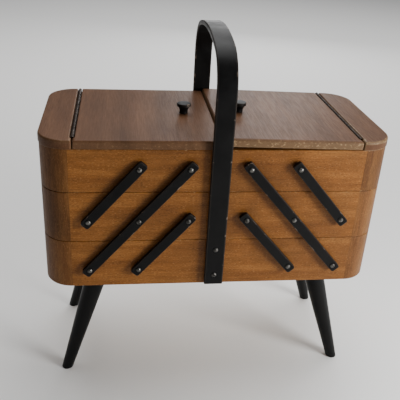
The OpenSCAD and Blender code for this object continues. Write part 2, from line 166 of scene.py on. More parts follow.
def vector(tree, x=0.0, y=0.0, z=0.0):
    return nodeOut(tree, "ShaderNodeCombineXYZ", {0: x, 1: y, 2: z})


def components(tree, value):
    return addNode(tree, "ShaderNodeSeparateXYZ", {0: value}).outputs


def shaded(tree, color, shade):     # a colour made darker or lighter
    return mixColor(tree, 1.0, color, vector(tree, shade, shade, shade), "MULTIPLY")


def objectPlace(tree):
    return addNode(tree, "ShaderNodeTexCoord").outputs["Object"]


def pointValue(tree, name, output="Fac"):       # what the mesh keeps on its points
    return addNode(tree, "ShaderNodeAttribute", attribute_name=name).outputs[output]


def colorRamp(tree, value, stops, interpolation="LINEAR"):
    stops = list(stops)
    made = addNode(tree, "ShaderNodeValToRGB", {"Fac": value})
    ramp = made.color_ramp
    ramp.interpolation = interpolation
    while len(ramp.elements) < len(stops):
        ramp.elements.new(1.0)
    for element, (position, color) in zip(ramp.elements, stops):
        element.position = position
        element.color = (*color, 1)
    return made.outputs["Color"]


def noise(tree, place, scale, detail=2.0, distortion=0.0):
    stretched = nodeOut(tree, "ShaderNodeMapping", {"Vector": place, "Scale": scale})
    values = {"Vector": stretched, "Scale": 1.0, "Detail": detail, "Roughness": 0.6, "Distortion": distortion}
    return addNode(tree, "ShaderNodeTexNoise", values).outputs["Fac"]


plainGloss = 0.5        # the shader's own value


def newMaterial(name):
    material = bpy.data.materials.new(name)
    material.use_nodes = True
    return material, material.node_tree, material.node_tree.nodes["Principled BSDF"]


def finishShader(tree, shader, look, color, roughness, relief):
    feed(tree, shader.inputs["Base Color"], color)
    feed(tree, shader.inputs["Roughness"], roughness)
    values = {"Height": relief, "Strength": look["bump"], "Distance": look["relief"]}
    feed(tree, shader.inputs["Normal"], addNode(tree, "ShaderNodeBump", values).outputs["Normal"])
    shader.inputs["Specular IOR Level"].default_value = look.get("gloss", plainGloss)


# ---- wood ----

# Three numbers in a row are colours, or features per metre along the grain, across it and into the board
beechLook = {
    "dark": (0.150, 0.050, 0.0075), "middle": (0.208, 0.075, 0.0125), "pale": (0.270, 0.106, 0.0215),
    "fleck": (0.055, 0.019, 0.005), "fleckShare": 0.72, "ray": (0.42, 0.21, 0.070), "rayShare": 0.50,
    "figure": (6, 75, 75), "pores": (60, 800, 800), "flecks": (330, 1300, 1300), "clouds": (9, 13, 13),
    "poreShade": (0.80, 1.14), "cloudDepth": 0.18, "rubbed": (0.50, 0.32, 0.15), "rubbedShare": 0.40,
    "tint": 0.0, "rough": (0.42, 0.56), "coat": 0.02, "gloss": 0.20, "bump": 0.35, "relief": 0.25 * mm,
}
postLook = {
    **beechLook,
    "dark": (0.105, 0.038, 0.0080), "middle": (0.142, 0.055, 0.0130), "pale": (0.188, 0.080, 0.0210),
    "fleckShare": 0.40, "rayShare": 0.25, "cloudDepth": 0.20, "stain": (0.070, 0.030, 0.010),
    "gloss": 0.16, "coat": 0.02,
}
lidLook = {
    "dark": (0.086, 0.038, 0.0175), "middle": (0.110, 0.050, 0.0235), "pale": (0.136, 0.064, 0.0315),
    "fleck": (0.040, 0.017, 0.009), "fleckShare": 0.30, "ray": (0.22, 0.12, 0.065), "rayShare": 0.15,
    "figure": (5, 55, 55), "pores": (40, 700, 700), "flecks": (160, 1100, 1100), "clouds": (7, 12, 12),
    "poreShade": (0.88, 1.10), "cloudDepth": 0.14, "rubbed": (0.50, 0.33, 0.17), "rubbedShare": 0.60,
    "tint": 0.5, "rough": (0.38, 0.52), "coat": 0.0, "gloss": 0.13, "bump": 0.22, "relief": 0.25 * mm,
    "planks": ((0.0, 1.0), (0.16, 0.94), (0.34, 1.04), (0.50, 0.97), (0.66, 1.05), (0.84, 0.98)),
    "plankSpan": 0.22,
}
plyLook = {
    **beechLook,
    "dark": (0.42, 0.27, 0.13), "middle": (0.52, 0.35, 0.18), "pale": (0.60, 0.43, 0.24),
    "fleck": (0.30, 0.18, 0.09), "rough": (0.45, 0.60), "coat": 0.0,
}
pineLook = {
    **beechLook,
    "dark": (0.40, 0.24, 0.11), "middle": (0.52, 0.34, 0.17), "pale": (0.60, 0.42, 0.22),
    "fleckShare": 0.1, "rough": (0.50, 0.65), "coat": 0.0,
}
# Between which noise values each mark comes in
woodBands = {
    "figure": (0.30, 0.50, 0.70), "pores": (0.30, 0.70), "fleck": (0.60, 0.68), "ray": (0.38, 0.31),
    "clouds": (0.30, 0.70), "stain": (0.66, 0.76), "rubs": (0.54, 0.68), "rough": (0.25, 0.75),
}
woodSetup = {
    "stains": (32, 45, 45), "stainShare": 0.6, "rubs": (190, 240, 420), "tintLevel": 0.42, "coatRough": 0.30,
}


def woodMaterial(name, look, follows="grain"):
    material, tree, shader = newMaterial(name)
    setup, bands = woodSetup, woodBands
    if follows == "grain":          # the board's own coordinates
        place = pointValue(tree, "grain", "Vector")
    else:
        place = objectPlace(tree)
    if follows == "depth":          # grain runs front to back
        x, y, z = components(tree, place)
        place = vector(tree, y, x, z)
    figure = noise(tree, place, look["figure"], 4.0, 0.5)
    pores = noise(tree, place, look["pores"], 3.0)
    flecks = noise(tree, place, look["flecks"], 1.0)
    clouds = noise(tree, place, look["clouds"], 3.0)
    color = colorRamp(tree, figure, zip(bands["figure"], (look["dark"], look["middle"], look["pale"])))
    color = shaded(tree, color, spread(tree, pores, *bands["pores"], *look["poreShade"]))
    for mark in ("fleck", "ray"):
        mask = spread(tree, flecks, *bands[mark], 0.0, look[mark + "Share"])
        color = mixColor(tree, mask, color, look[mark])
    depth = look["cloudDepth"]
    tone = spread(tree, clouds, *bands["clouds"], 1 - depth, 1 + depth)
    if "planks" in look:            # glued boards, side by side across the grain
        share = maths(tree, "DIVIDE", components(tree, place)[1], look["plankSpan"])
        stops = [(position, (level / 2,) * 3) for position, level in look["planks"]]    # a ramp ends at 1
        tone = times(tree, tone, times(tree, colorRamp(tree, share, stops, "CONSTANT"), 2.0))
    color = shaded(tree, color, tone)
    if "stain" in look:
        patches = noise(tree, place, setup["stains"], 3.0, 0.8)
        mask = spread(tree, patches, *bands["stain"], 0.0, setup["stainShare"])
        color = mixColor(tree, mask, color, look["stain"])
    if follows == "grain":          # rubbed edges
        wear = pointValue(tree, "wear")
        rubs = spread(tree, noise(tree, place, setup["rubs"], 4.0), *bands["rubs"], 0.0, look["rubbedShare"])
        tinted = [level * setup["tintLevel"] for level in look["rubbed"]]
        color = mixColor(tree, times(tree, wear, look["tint"]), color, tinted)
        color = mixColor(tree, times(tree, wear, rubs), color, look["rubbed"])
    smooth, rough = look["rough"]
    roughness = spread(tree, pores, *bands["rough"], rough, smooth)
    finishShader(tree, shader, look, color, roughness, plus(tree, pores, flecks))
    shader.inputs["Coat Weight"].default_value = look["coat"]
    shader.inputs["Coat Roughness"].default_value = setup["coatRough"]
    return material


# ---- paint and metal ----

paintLook = {
    "color": (0.0030, 0.0028, 0.0028), "faded": (0.0065, 0.0062, 0.0060), "bare": (0.16, 0.12, 0.09),
    "clouds": (28, 28, 28), "fade": (0.35, 0.70), "brush": (420, 420, 420), "chips": (90, 90, 90),
    "chipBand": (0.60, 0.63), "edgeFade": 0.10, "rough": (0.36, 0.50), "roughBand": (0.3, 0.7),
    "gloss": 0.12, "bump": 0.12, "relief": 0.2 * mm,
}


def paintMaterial(name, look):
    material, tree, shader = newMaterial(name)
    place = objectPlace(tree)
    wear = pointValue(tree, "wear")
    clouds = noise(tree, place, look["clouds"], 4.0)
    brush = noise(tree, place, look["brush"], 2.0)
    chips = times(tree, wear, spread(tree, noise(tree, place, look["chips"], 5.0), *look["chipBand"]))
    color = colorRamp(tree, clouds, zip(look["fade"], (look["color"], look["faded"])))
    color = mixColor(tree, times(tree, wear, look["edgeFade"]), color, look["bare"])
    color = mixColor(tree, chips, color, look["bare"])
    roughness = spread(tree, clouds, *look["roughBand"], *look["rough"])
    finishShader(tree, shader, look, color, roughness, minus(tree, brush, chips))
    return material


steelLook = {
    "bright": (0.17, 0.163, 0.15), "dull": (0.06, 0.056, 0.05), "rough": (0.30, 0.46), "bump": 0.1,
    "patina": (180, 180, 180), "patinaBand": (0.42, 0.66), "scratches": (1400, 1400, 1400),
    "roughBand": (0.3, 0.7), "relief": 0.05 * mm,
}
washerLook = {
    **steelLook,
    "bright": (0.30, 0.29, 0.27), "dull": (0.14, 0.125, 0.11), "rough": (0.35, 0.55),
}
hingeLook = {
    **steelLook,
    "bright": (0.036, 0.023, 0.016), "dull": (0.016, 0.010, 0.007), "rough": (0.45, 0.65), "bump": 0.2,
}
brassLook = {
    **steelLook,
    "bright": (0.66, 0.48, 0.22), "dull": (0.40, 0.27, 0.12), "rough": (0.25, 0.45),
}


def metalMaterial(name, look):
    material, tree, shader = newMaterial(name)
    place = objectPlace(tree)
    patina = noise(tree, place, look["patina"], 4.0)
    scratches = noise(tree, place, look["scratches"], 2.0)
    color = colorRamp(tree, patina, zip(look["patinaBand"], (look["bright"], look["dull"])))
    roughness = spread(tree, patina, *look["roughBand"], *look["rough"])
    finishShader(tree, shader, look, color, roughness, scratches)
    shader.inputs["Metallic"].default_value = 1.0
    return material


materials = {
    "box_walls": woodMaterial("beechBoards", beechLook),
    "corner_posts": woodMaterial("beechPosts", postLook),
    "lids": woodMaterial("walnutStain", lidLook),
    "base_panels": woodMaterial("plywood", plyLook, "object"),
    "battens": woodMaterial("pine", pineLook, "depth"),
    "paint": paintMaterial("blackPaint", paintLook),
    "screws": metalMaterial("screwSteel", steelLook),
    "washers": metalMaterial("washerSteel", washerLook),
    "hinges": metalMaterial("brownedBrass", hingeLook),
    "inserts": metalMaterial("brass", brassLook),
    "bolts": metalMaterial("boltSteel", washerLook),
}
print("materials made")

# ---- shapes: rings of points ----

supportWidth = 0.35 * mm    # flat strip beside each rounded edge, which keeps the flats flat
leastRadius = 0.05 * mm
rubbedSteps = 4             # a corner with no more arc steps than this is an edge, which gets rubbed
sharpAngle = math.radians(38)
boreSteps = 32


def turned(vector, angle):
    return Vector((vector.x * math.cos(angle) - vector.y * math.sin(angle),
                   vector.x * math.sin(angle) + vector.y * math.cos(angle)))


def roundedLoop(corners):     # each corner is (x, y, radius, inset share of the next edge, arc steps)
    points = []
    for index, (x, y, radius, _, steps) in enumerate(corners):
        corner = Vector((x, y))
        if radius == 0:
            points.append((corner, 0.0))
            continue
        into = (Vector(corners[index - 1][:2]) - corner).normalized()
        out = (Vector(corners[(index + 1) % len(corners)][:2]) - corner).normalized()
        half = math.acos(max(-1, min(1, into.dot(out)))) / 2
        reach = radius / math.tan(half)
        middle = corner + (into + out).normalized() * radius / math.sin(half)
        first = corner + into * reach - middle
        sweep = math.pi - 2 * half
        if into.x * out.y - into.y * out.x > 0:
            sweep = -sweep
        wear = 1.0 if steps <= rubbedSteps else 0.0
        points.append((corner + into * (reach + supportWidth), 0.0))
        for step in range(steps + 1):
            points.append((middle + turned(first, sweep * step / steps), wear))
        points.append((corner + out * (reach + supportWidth), 0.0))
    return points


def insetCorners(corners, inset):
    moved = []
    for index, (x, y, radius, share, steps) in enumerate(corners):
        here, before = Vector((x, y)), corners[index - 1]
        into = (here - Vector(before[:2])).normalized()
        out = (Vector(corners[(index + 1) % len(corners)][:2]) - here).normalized()
        turn = into.x * out.y - into.y * out.x
        place = here + (out * inset * before[3] - into * inset * share) / turn
        shrunk = radius - math.copysign(inset * max(share, before[3]), turn)
        kept = max(shrunk, leastRadius) if radius else 0
        moved.append((place.x, place.y, kept, share, steps))
    return moved


def quarterTurn(steps):
    return [math.pi / 2 * step / steps for step in range(steps + 1)]


# (height, inset, wear, corners' wear) from below; a worn face leaves the top edge unworn
def roundLevels(thick, topRound, bottomRound, faceWear=0.0, steps=4):
    levels = [(0.0, bottomRound + supportWidth, 0.0, 0.0)]
    for turn in quarterTurn(steps):
        levels.append((bottomRound * (1 - math.cos(turn)), bottomRound * (1 - math.sin(turn)), 1, 1))
    for height in (bottomRound + supportWidth, thick - topRound - supportWidth):
        levels.append((height, 0.0, faceWear, 1.0))
    for turn in quarterTurn(steps):
        wear = 1 - faceWear * math.sin(turn)
        levels.append((thick - topRound * (1 - math.sin(turn)), topRound * (1 - math.cos(turn)), wear, wear))
    return levels + [(thick, topRound + supportWidth, 0.0, 0.0)]


def ownGrain(point):        # for pieces whose finish follows no grain
    return point


def newShape():
    return {"points": [], "faces": [], "grain": [], "wear": []}


def addRings(shape, rings, grain, place=None):      # closes both ends with a flat face
    start, count = len(shape["points"]), len(rings[0])
    for ring in rings:
        for point, wear in ring:
            shape["points"].append(place @ point if place else point)
            shape["grain"].append(grain(point))
            shape["wear"].append(wear)
    for level in range(len(rings) - 1):
        low = start + level * count
        for index in range(count):
            after = (index + 1) % count
            shape["faces"].append((low + index, low + after, low + count + after, low + count + index))
    last = start + (len(rings) - 1) * count
    shape["faces"].append(tuple(range(start + count - 1, start - 1, -1)))
    shape["faces"].append(tuple(range(last, last + count)))


def addPlate(shape, corners, levels, grain, place=None):
    rings = []
    for height, inset, levelWear, cornerWear in levels:
        loop = roundedLoop(insetCorners(corners, inset))
        rings.append([(Vector((*point, height)), max(levelWear, wear * cornerWear)) for point, wear in loop])
    addRings(shape, rings, grain, place)


def addLathe(shape, profile, grain, place=None, steps=40):      # profile points are (radius, height, wear)
    turns = [2 * math.pi * step / steps for step in range(steps)]
    rings = [[(Vector((radius * math.cos(turn), radius * math.sin(turn), height)), wear) for turn in turns]
             for radius, height, wear in profile]
    addRings(shape, rings, grain, place)


def dress(piece, finish, body, node):
    mesh = piece.data
    mesh.materials.clear()
    mesh.materials.append(materials[finish])
    mesh.shade_smooth()
    mesh.set_sharp_from_angle(angle=sharpAngle)
    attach(piece, body)
    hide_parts(node)


def makePiece(name, shape, finish, body, node, bores=None, regrain=None):
    mesh = bpy.data.meshes.new(name)
    mesh.from_pydata(shape["points"], [], shape["faces"])
    grain = mesh.attributes.new("grain", "FLOAT_VECTOR", "POINT")
    grain.data.foreach_set("vector", [value for point in shape["grain"] for value in point])
    mesh.attributes.new("wear", "FLOAT", "POINT").data.foreach_set("value", shape["wear"])
    worked = bmesh.new()
    worked.from_mesh(mesh)
    bmesh.ops.recalc_face_normals(worked, faces=worked.faces)
    bmesh.ops.triangulate(worked, faces=[face for face in worked.faces if len(face.verts) > 4])
    worked.to_mesh(mesh)
    worked.free()
    piece = addObject(name, mesh)
    if bores:
        drill(piece, bores)
    if regrain:
        values = [value for vertex in piece.data.vertices for value in regrain(vertex.co)]
        piece.data.attributes["grain"].data.foreach_set("vector", values)
    dress(piece, finish, body, node)


def settle(piece):      # swaps the piece's mesh for the one that its modifiers make
    evaluated = piece.evaluated_get(bpy.context.evaluated_depsgraph_get())
    mesh = bpy.data.meshes.new_from_object(evaluated)
    piece.modifiers.clear()
    old = piece.data
    piece.data = mesh
    bpy.data.meshes.remove(old)


def drill(piece, bores):        # bores: (middle of one end, middle of the other, radius)
    cutter = newShape()
    for start, end, radius in bores:
        along = end - start
        place = Matrix.Translation(start) @ along.to_track_quat("Z", "Y").to_matrix().to_4x4()
        addLathe(cutter, [(radius, 0, 0), (radius, along.length, 0)], ownGrain, place, boreSteps)
    mesh = bpy.data.meshes.new("bores")
    mesh.from_pydata(cutter["points"], [], cutter["faces"])
    tool = addObject("bores", mesh)
    cut = piece.modifiers.new("bores", "BOOLEAN")
    cut.operation = "DIFFERENCE"
    cut.solver = "EXACT"
    cut.object = tool
    settle(piece)
    bpy.data.objects.remove(tool)


# ---- Geometry Nodes: shared helpers ----


def newNodeTree(name, sizes, **others):         # sizes are names of lengths; others give their socket's kind
    tree = bpy.data.node_groups.new(name, "GeometryNodeTree")
    tree.interface.new_socket("Geometry", in_out="INPUT", socket_type="NodeSocketGeometry")
    for label, kind in {**dict.fromkeys(sizes, "Float"), **others, "Material": "Material"}.items():
        tree.interface.new_socket(label, in_out="INPUT", socket_type="NodeSocket" + kind)
    tree.interface.new_socket("Geometry", in_out="OUTPUT", socket_type="NodeSocketGeometry")
    return tree, addNode(tree, "NodeGroupInput").outputs


def endTree(tree, geometry, material):
    smooth = nodeOut(tree, "GeometryNodeSetShadeSmooth", {"Geometry": geometry})
    real = nodeOut(tree, "GeometryNodeRealizeInstances", {"Geometry": smooth})
    painted = nodeOut(tree, "GeometryNodeSetMaterial", {"Geometry": real, "Material": material})
    addNode(tree, "NodeGroupOutput", {"Geometry": painted})


# Runs a tree and keeps its result as a plain mesh
def growPiece(name, mesh, tree, values, finish, body, node, place=None, bores=None):
    values = {**values, "Material": materials[finish]}
    piece = addObject(name, mesh)
    grower = piece.modifiers.new("grower", "NODES")
    grower.node_group = tree
    for socket in tree.interface.items_tree:
        if socket.in_out == "INPUT" and socket.name in values:
            grower[socket.identifier] = values[socket.name]
    settle(piece)
    if place:
        piece.data.transform(place)
        if place.determinant() < 0:
            piece.data.flip_normals()
    if bores:
        drill(piece, bores)
    dress(piece, finish, body, node)


def pointMesh(name, places, facing=None):
    mesh = bpy.data.meshes.new(name)
    mesh.from_pydata(places, [], [])
    if facing:
        made = mesh.attributes.new("facing", "FLOAT_VECTOR", "POINT")
        made.data.foreach_set("vector", [value for direction in facing for value in direction])
    return mesh


def moveNode(tree, geometry, **moves):
    return nodeOut(tree, "GeometryNodeTransform", {"Geometry": geometry, **moves})


def cylinderNode(tree, radius, depth, lift, steps=32, rings=1):
    values = {"Vertices": steps, "Side Segments": 1, "Fill Segments": rings, "Radius": radius, "Depth": depth}
    made = addNode(tree, "GeometryNodeMeshCylinder", values).outputs["Mesh"]
    return moveNode(tree, made, Translation=vector(tree, z=lift))


def cubeNode(tree, low, high):      # low and high: three numbers or sockets each
    size = vector(tree, *(minus(tree, end, start) for start, end in zip(low, high)))
    middle = vector(tree, *(times(tree, plus(tree, end, start), 0.5) for start, end in zip(low, high)))
    return moveNode(tree, nodeOut(tree, "GeometryNodeMeshCube", {"Size": size}), Translation=middle)


def boolean(tree, operation, first, others):
    made = addNode(tree, "GeometryNodeMeshBoolean", operation=operation, solver="EXACT")
    if first is not None:
        tree.links.new(first, made.inputs["Mesh 1"])
    for other in others:
        tree.links.new(other, made.inputs["Mesh 2"])
    return made.outputs["Mesh"]


def placeAtPoints(tree, points, template, seed=None):
    kept = addNode(tree, "GeometryNodeInputNamedAttribute", {"Name": "facing"}, data_type="FLOAT_VECTOR")
    facing = kept.outputs[0]
    turn = nodeOut(tree, "FunctionNodeAlignRotationToVector", {"Vector": facing}, axis="Z")
    if seed is not None:
        values = {2: 0.0, 3: 2 * math.pi, "Seed": seed}
        angle = addNode(tree, "FunctionNodeRandomValue", values, data_type="FLOAT").outputs[1]
        spin = nodeOut(tree, "FunctionNodeAxisAngleToRotation", {"Axis": (0, 0, 1), "Angle": angle})
        turn = nodeOut(tree, "FunctionNodeRotateRotation", {0: turn, 1: spin}, rotation_space="LOCAL")
    values = {"Points": points, "Instance": template, "Rotation": turn}
    return nodeOut(tree, "GeometryNodeInstanceOnPoints", values)


# ---- screws and washers ----

screwSetup = {
    "Head Radius": 3.2 * mm, "Head Height": 2.2 * mm, "Head Rim": 0.35 * mm,
    "Slot Width": 0.9 * mm, "Slot Depth": 0.9 * mm,
    "Shoulder Radius": 2.25 * mm, "Thread Radius": 1.75 * mm, "Thread Length": 5.5 * mm,
}
washerSetup = {"Hole Radius": 2.25 * mm}


def shank(tree, radius, length, start):     # goes down from start, a little of it inside what is above
    sink = 0.2 * mm
    depth = plus(tree, length, sink)
    middle = minus(tree, plus(tree, times(tree, depth, -0.5), sink), start)
    return cylinderNode(tree, radius, depth, middle, 24)


def screwTree():
    sizes = ["Head Radius", "Head Height", "Head Rim", "Slot Width", "Slot Depth", "Shoulder Radius",
             "Shoulder Length", "Thread Radius", "Thread Length"]
    tree, given = newNodeTree("slottedScrews", sizes, Seed="Int")
    radius, height, rim = (given["Head " + size] for size in ("Radius", "Height", "Rim"))
    fullness = 0.75     # of the domed head: 0.5 is an ellipse, 1 a parabola
    head = cylinderNode(tree, radius, rim, times(tree, rim, 0.5), 40, 7)
    x, y, z = components(tree, nodeOut(tree, "GeometryNodeInputPosition"))
    square = plus(tree, times(tree, x, x), times(tree, y, y))
    share = maths(tree, "DIVIDE", square, times(tree, radius, radius))
    dome = maths(tree, "POWER", maths(tree, "MAXIMUM", minus(tree, 1.0, share), 0.0), fullness)
    rise = times(tree, dome, minus(tree, height, rim))
    onTop = maths(tree, "GREATER_THAN", z, times(tree, rim, 0.5))
    values = {"Geometry": head, "Offset": vector(tree, z=times(tree, rise, onTop))}
    head = nodeOut(tree, "GeometryNodeSetPosition", values)
    shoulder = shank(tree, given["Shoulder Radius"], given["Shoulder Length"], 0.0)
    thread = shank(tree, given["Thread Radius"], given["Thread Length"], given["Shoulder Length"])
    screw = boolean(tree, "UNION", None, [head, shoulder, thread])
    size = vector(tree, times(tree, radius, 3.0), given["Slot Width"], times(tree, given["Slot Depth"], 2.0))
    slot = nodeOut(tree, "GeometryNodeMeshCube", {"Size": size})
    slot = moveNode(tree, slot, Translation=vector(tree, z=height))
    screw = boolean(tree, "DIFFERENCE", screw, [slot])
    endTree(tree, placeAtPoints(tree, given["Geometry"], screw, given["Seed"]), given["Material"])
    return tree


def washerTree():
    tree, given = newNodeTree("washers", ["Radius", "Hole Radius", "Thickness"])
    thick = given["Thickness"]
    half = times(tree, thick, 0.5)
    disc = cylinderNode(tree, given["Radius"], thick, half)
    hole = cylinderNode(tree, given["Hole Radius"], times(tree, thick, 3.0), half)
    ring = boolean(tree, "DIFFERENCE", disc, [hole])
    endTree(tree, placeAtPoints(tree, given["Geometry"], ring), given["Material"])
    return tree


slottedScrews = screwTree()
washers = washerTree()
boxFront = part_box("bottom_box_front_wall")[0].y
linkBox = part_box("left_long_link_front")
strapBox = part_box("handle")
linkGap = 0.3 * mm      # between a link and a screw head


def onBothFaces(places, y):
    spots = [Vector((place.x, sign * y, place.z)) for sign in (-1, 1) for place in places]
    return spots, [Vector((0, math.copysign(1, spot.y), 0)) for spot in spots]


def makeScrews(name, places, y, grip, body, node, seed):
    spots, facing = onBothFaces(places, y)
    values = {**screwSetup, "Shoulder Length": grip, "Seed": seed}
    growPiece(name, pointMesh(name, spots, facing), slottedScrews, values, "screws", body, node)


def makeWashers(name, places, sizes, body, node):
    spots, facing = onBothFaces(places, -boxFront)
    values = {**washerSetup, **sizes}
    growPiece(name, pointMesh(name, spots, facing), washers, values, "washers", body, node)


linkWasher = {"Radius": 5.5 * mm, "Thickness": 1.9 * mm}
strapWasher = {"Radius": 7.0 * mm, "Thickness": 2.2 * mm}
seatY = -linkBox[0].y + linkGap         # where the heads of the pivot screws bear
grip = seatY + boxFront                 # from there to the wall
pivots = {side: linkPivots(side) for side in sideSign}
lowPivots = pivots["left"]["bottom"] + pivots["right"]["bottom"]
makeScrews("bottomPivotScrews", lowPivots, seatY, grip, "bottom_box", "bottom_box_pivot_screws", 3)
makeWashers("bottomPivotWashers", lowPivots, linkWasher, "bottom_box", "bottom_box_washers")
trays = [(side, tier) for side in sideSign for tier in ("middle", "top")]
for number, (side, tier) in enumerate(trays):
    body = f"{side}_{tier}_tray"
    name = f"{side}{tier.capitalize()}Pivot"
    places = pivots[side][tier]
    makeScrews(name + "Screws", places, seatY, grip, body, body + "_pivot_screws", 11 + number)
    makeWashers(name + "Washers", places, linkWasher, body, body + "_pivot_screws")

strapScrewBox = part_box("handle_screws")
strapY = -strapScrewBox[0].y - screwSetup["Head Height"]
strapPlaces = [Vector((0, 0, strapScrewBox[0].z + screwSetup["Head Radius"])),
               Vector((0, 0, strapScrewBox[1].z - screwSetup["Head Radius"]))]
makeScrews("handleScrews", strapPlaces, strapY, strapY + boxFront, "bottom_box", "handle_screws", 29)
makeWashers("handleWashers", strapPlaces, strapWasher, "bottom_box", "bottom_box_washers")
print("screws and washers made")

# ---- tiers: walls and corner posts ----

tierSetup = {
    "wallThick": 8 * mm, "postThick": 12 * mm, "outerRound": 0.9 * mm, "innerRound": 1.3 * mm,
    "footRound": 0.4 * mm,
    "grooveRise": 4 * mm, "grooveHeight": 4 * mm, "grooveDepth": 4 * mm, "postSteps": 14,
}
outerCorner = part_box("bottom_box_corner_posts")
cornerRadius = outerCorner[1].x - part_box("bottom_box_front_wall")[1].x
halfLength, halfDepth = outerCorner[1].x, outerCorner[1].y


def boardLoop(height, thick):       # x is the depth from the outer face, y the height
    setup = tierSetup
    outer, inner = setup["outerRound"], setup["innerRound"]
    low, high = setup["grooveRise"], setup["grooveRise"] + setup["grooveHeight"]
    bottom = thick - setup["grooveDepth"]
    return roundedLoop([(0, 0, outer, 1, 4), (thick, 0, setup["footRound"], 1, 2), (thick, low, 0, 1, 1),
                        (bottom, low, 0, 1, 1), (bottom, high, 0, 1, 1), (thick, high, 0, 1, 1),
                        (thick, height, inner, 1, 4), (0, height, outer, 1, 4)])


def addBoard(shape, start, along, length, height, seed):
    inward = up.cross(along)
    shift = Vector((0.31, 0.47, 0.23)) * seed
    loop = boardLoop(height, tierSetup["wallThick"])
    rings = [[(start + along * reach + inward * point.x + up * point.y, wear) for point, wear in loop]
             for reach in (0, length)]

    def grain(point):
        place = point - start
        return Vector((place.dot(along), place.z, place.dot(inward))) + shift
    addRings(shape, rings, grain)


def addPost(shape, quarter, base, height, seed):        # quarters 0 to 3 go round from the right front corner
    signX, signY = ((1, -1), (1, 1), (-1, 1), (-1, -1))[quarter]
    middle = Vector((signX * (halfLength - cornerRadius), signY * (halfDepth - cornerRadius), base))
    shift = Vector((0.29, 0.41, 0.37)) * seed
    loop = boardLoop(height, tierSetup["postThick"])
    rings = []
    for step in range(tierSetup["postSteps"] + 1):
        turn = math.pi / 2 * (quarter - 1 + step / tierSetup["postSteps"])
        out = Vector((math.cos(turn), math.sin(turn), 0))
        rings.append([(middle + out * (cornerRadius - point.x) + up * point.y, wear) for point, wear in loop])

    def grain(point):       # runs upright
        away = point - middle
        return Vector((away.z, cornerRadius * math.atan2(away.y, away.x), away.xy.length)) + shift
    addRings(shape, rings, grain)


straightX = halfLength - cornerRadius
straightY = halfDepth - cornerRadius
boxBase, boxTop = outerCorner[0].z, outerCorner[1].z
boxBoards = [       # name, node, start at the base, direction, half of the length
    ("boxFrontWall", "front_wall", (-straightX, -halfDepth), (1, 0), straightX),
    ("boxRightEnd", "right_end", (halfLength, -straightY), (0, 1), straightY),
    ("boxBackWall", "back_wall", (straightX, halfDepth), (-1, 0), straightX),
    ("boxLeftEnd", "left_end", (-halfLength, straightY), (0, -1), straightY),
]
for seed, (name, node, start, along, half) in enumerate(boxBoards):
    shape = newShape()
    addBoard(shape, Vector((*start, boxBase)), Vector((*along, 0)), 2 * half, boxTop - boxBase, seed + 1)
    makePiece(name, shape, "box_walls", "bottom_box", "bottom_box_" + node)
shape = newShape()
for quarter in range(4):
    addPost(shape, quarter, boxBase, boxTop - boxBase, quarter + 1)
makePiece("boxCornerPosts", shape, "corner_posts", "bottom_box",
          "bottom_box_corner_posts")

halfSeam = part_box("right_middle_tray_walls")[0].x


def makeTray(side, tier, seed):
    sign = sideSign[side]
    body = f"{side}_{tier}_tray"
    name = f"{side}{tier.capitalize()}Tray"
    low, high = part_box(body + "_walls")
    base, height = low.z, high.z - low.z
    inner = halfSeam + tierSetup["wallThick"]       # the inner end wall covers the ends of the long walls
    reach = straightX - inner
    left, right = (-straightX, -inner) if side == "left" else (inner, straightX)
    boards = [
        ((left, -halfDepth), (1, 0), reach),
        ((right, halfDepth), (-1, 0), reach),
        ((sign * halfLength, -sign * straightY), (0, sign), 2 * straightY),
        ((sign * halfSeam, sign * halfDepth), (0, -sign), 2 * halfDepth),
    ]
    shape = newShape()
    for number, (start, along, length) in enumerate(boards):
        addBoard(shape, Vector((*start, base)), Vector((*along, 0)), length, height, seed + number)
    makePiece(name + "Walls", shape, "box_walls", body, body + "_walls")
    shape = newShape()
    for quarter in ((0, 1) if side == "right" else (2, 3)):
        addPost(shape, quarter, base, height, seed + quarter)
    makePiece(name + "Posts", shape, "corner_posts", body, body + "_corner_posts")


for number, (side, tier) in enumerate(trays):
    makeTray(side, tier, 7 + 5 * number)
print("tiers made")

# ---- lids, end rails and hinges ----

lidSetup = {
    "seamRound": 3.5 * mm, "edgeShare": 0.55, "slotShare": 0.45, "frontShare": {"left": 0.4, "right": 0.95},
    "bottomRound": {"left": 0.8 * mm, "right": 2.2 * mm}, "cornerRound": 1.6 * mm, "cornerSteps": 3,
    "endSteps": 14, "tongue": 13 * mm, "seamHalf": 0.5 * mm, "slotHalf": 2.75 * mm,
    "knobBore": 2.05 * mm, "boreReach": 20 * mm,
    # The right side's edges get four times the left's rubbed tint: partly wear, partly painted highlight from the
    # light on the right
    "wear": {"left": 0.25, "right": 1.0}, "faceWear": 0.9, "slotWear": 0.1, "slotReach": 8 * mm,
}
hingeAt = {side: jointPlace(side + "_lid_hinge") for side in sideSign}
ajar = math.radians(-joints["right_lid_hinge"]["range_deg"][0])     # how far the right lid stands open


def mirrored(side):
    return Matrix.Scale(sideSign[side], 4, Vector((1, 0, 0)))


def openedBy(side, angle):      # turns about a side's hinge line
    shift = Matrix.Translation(hingeAt[side])
    return shift @ Matrix.Rotation(sideSign[side] * angle, 4, "Y") @ shift.inverted()


def lidPlace(side):
    return openedBy(side, ajar if side == "right" else 0)


def boardGrain(seed):       # front to back
    shift = Vector((0.33, 0, 0.19)) * seed
    return lambda point: Vector((point.y, point.x, point.z)) + shift


def wearAndPaintedLight(shape, side):      # the edges along the hinge are hardly rubbed; the right lid's and rail's edges are painted lighter than the left's, partly wear and partly painted highlight where the light falls from the right
    setup = lidSetup
    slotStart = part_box("left_lid")[0].y + setup["tongue"] - supportWidth
    for index, point in enumerate(shape["points"]):
        nearHinge = abs(abs(point.x) - abs(hingeAt[side].x)) < setup["slotReach"] and point.y > slotStart
        # the side's share paints the right lid and rail lighter than the left: partly wear, partly painted
        # highlight
        shape["wear"][index] *= setup["wear"][side] * (setup["slotWear"] if nearHinge else 1.0)


